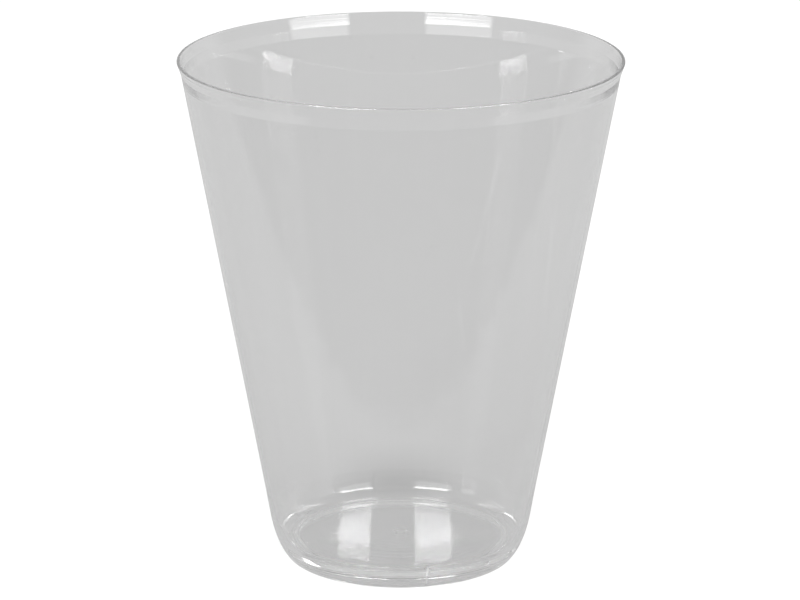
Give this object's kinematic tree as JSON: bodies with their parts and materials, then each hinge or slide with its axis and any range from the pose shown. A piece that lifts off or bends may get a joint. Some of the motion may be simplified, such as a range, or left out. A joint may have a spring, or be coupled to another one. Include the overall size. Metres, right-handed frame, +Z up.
{
  "type": "plastic tumbler cup",
  "caption": "Clear one-piece plastic tumbler with a thin tapered wall, flared rounded lip, rounded heel and a floor raised on a narrow foot ring.",
  "frame": {"origin": "on the cup's own axis, at the surface that the foot ring stands on", "axes": "+Z up along the axis, out of the mouth; -Y towards the viewer of the picture"},
  "size_m": [0.088, 0.088, 0.1022],
  "materials": {
    "clear_plastic": "clear moulded polystyrene, glossy inside and outside"
  },
  "bodies": {
    "root": {"cup": "clear_plastic"}
  },
  "joints": []
}
